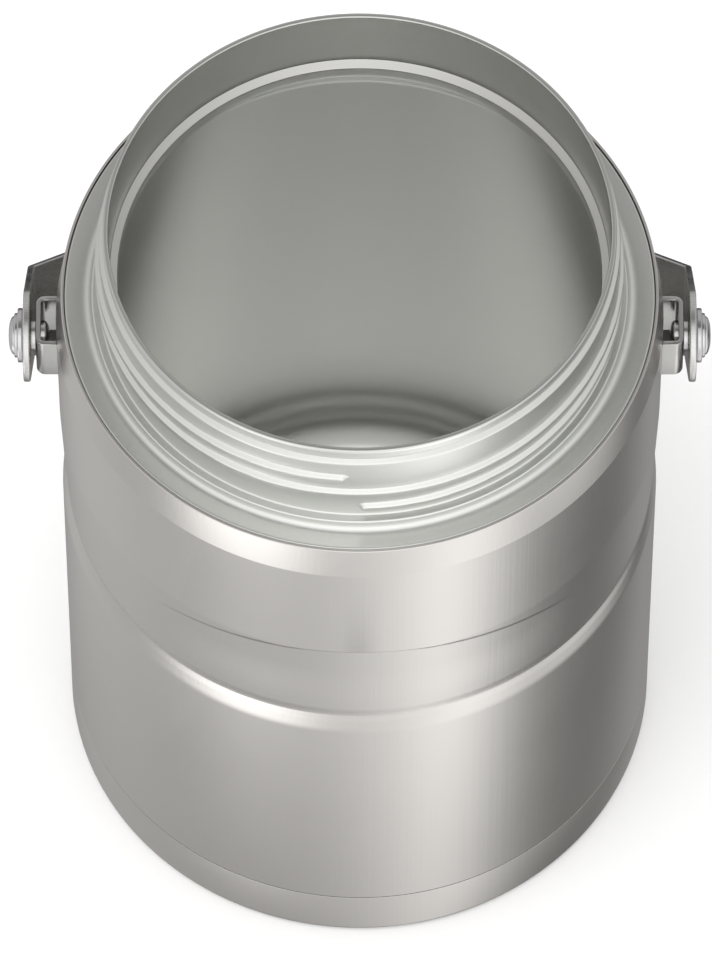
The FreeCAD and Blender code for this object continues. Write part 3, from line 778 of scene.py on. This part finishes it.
sep = add(nt, "ShaderNodeSeparateXYZ")
nt.links.new(tc.outputs["Generated"], sep.inputs[0])
front = math_node(nt, "MULTIPLY", sep.outputs["Y"], -1.0)
bearing = math_node(nt, "DIVIDE", math_node(nt, "ARCTAN2", sep.outputs["X"], front), 2 * math.pi)
bearing = math_node(nt, "ADD", bearing, 0.5)


def around(stops):
    """Brightness round the horizon: stops are (bearing in degrees, brightness up to 2), 0 at the front and 90 on the right."""
    ramp = add(nt, "ShaderNodeValToRGB")
    ramp.color_ramp.interpolation = "B_SPLINE"
    items = ramp.color_ramp.elements
    while len(items) < len(stops):
        items.new(0.5)
    for item, (deg, level) in zip(items, stops):
        item.position = deg / 360.0 + 0.5
    for item, (deg, level) in zip(items, stops):
        item.color = (level / 2, level / 2, level / 2, 1.0)
    nt.links.new(bearing, ramp.inputs["Fac"])
    return math_node(nt, "MULTIPLY", ramp.outputs["Color"], 2.0)


# the lower studio: a strip light right of the front, a flag on the right, an even bounce on the left
lower = around(
    (
        (-180.0, 0.50),
        (-150.0, 0.50),
        (-115.0, 0.74),
        (-75.0, 0.55),
        (-45.0, 0.56),
        (-15.0, 0.78),
        (5.0, 1.03),
        (20.0, 1.25),
        (33.0, 1.75),
        (46.0, 1.38),
        (60.0, 0.60),
        (85.0, 0.02),
        (112.0, 0.06),
        (135.0, 0.44),
        (150.0, 0.56),
        (180.0, 0.50),
    )
)
# the upper studio: a wide soft light over the front, dimmer behind
upper = around(
    (
        (-180.0, 0.64),
        (-120.0, 0.64),
        (-60.0, 0.98),
        (0.0, 1.80),
        (60.0, 1.05),
        (120.0, 0.64),
        (180.0, 0.64),
    )
)
rise = map_range(nt, sep.outputs["Z"], -0.45, 0.25, 0.0, 1.0)
blend = add(nt, "ShaderNodeMix", data_type="FLOAT")
nt.links.new(rise, blend.inputs["Factor"])
nt.links.new(lower, blend.inputs[2])
nt.links.new(upper, blend.inputs[3])
total = blend.outputs[0]
for args in (
    (-38.0, -33.0, 24.0, 1.6),
    (82.0, -34.0, 24.0, 0.7),
    (180.0, -40.0, 32.0, -0.46),
    (0.0, -90.0, 24.0, -0.45),
    (0.0, 90.0, 44.0, -0.42),
):
    total = math_node(nt, "ADD", total, lobe(*args))
total = math_node(nt, "MAXIMUM", total, 0.03)
glow = add(nt, "ShaderNodeBackground")
glow.inputs["Color"].default_value = (1.0, 0.995, 0.985, 1.0)
nt.links.new(total, glow.inputs["Strength"])
plain = add(nt, "ShaderNodeBackground")
plain.inputs["Color"].default_value = (1, 1, 1, 1)
plain.inputs["Strength"].default_value = 1.2
rays = add(nt, "ShaderNodeLightPath")
either = math_node(nt, "MAXIMUM", rays.outputs["Is Camera Ray"], rays.outputs["Is Diffuse Ray"])
mix = add(nt, "ShaderNodeMixShader")
nt.links.new(either, mix.inputs[0])
nt.links.new(glow.outputs[0], mix.inputs[1])
nt.links.new(plain.outputs[0], mix.inputs[2])
world_out = add(nt, "ShaderNodeOutputWorld")
nt.links.new(mix.outputs[0], world_out.inputs["Surface"])

sun_data = bpy.data.lights.new("key", "AREA")
sun_data.shape = "DISK"
sun_data.size = 1.6
sun_data.energy = 14.0
key = bpy.data.objects.new("key", sun_data)
key.location = (-0.9, -0.7, 2.4)
key.rotation_euler = Vector((0.9, 0.7, -2.4)).to_track_quat("-Z", "Y").to_euler()
scene.collection.objects.link(key)
key.visible_glossy = False
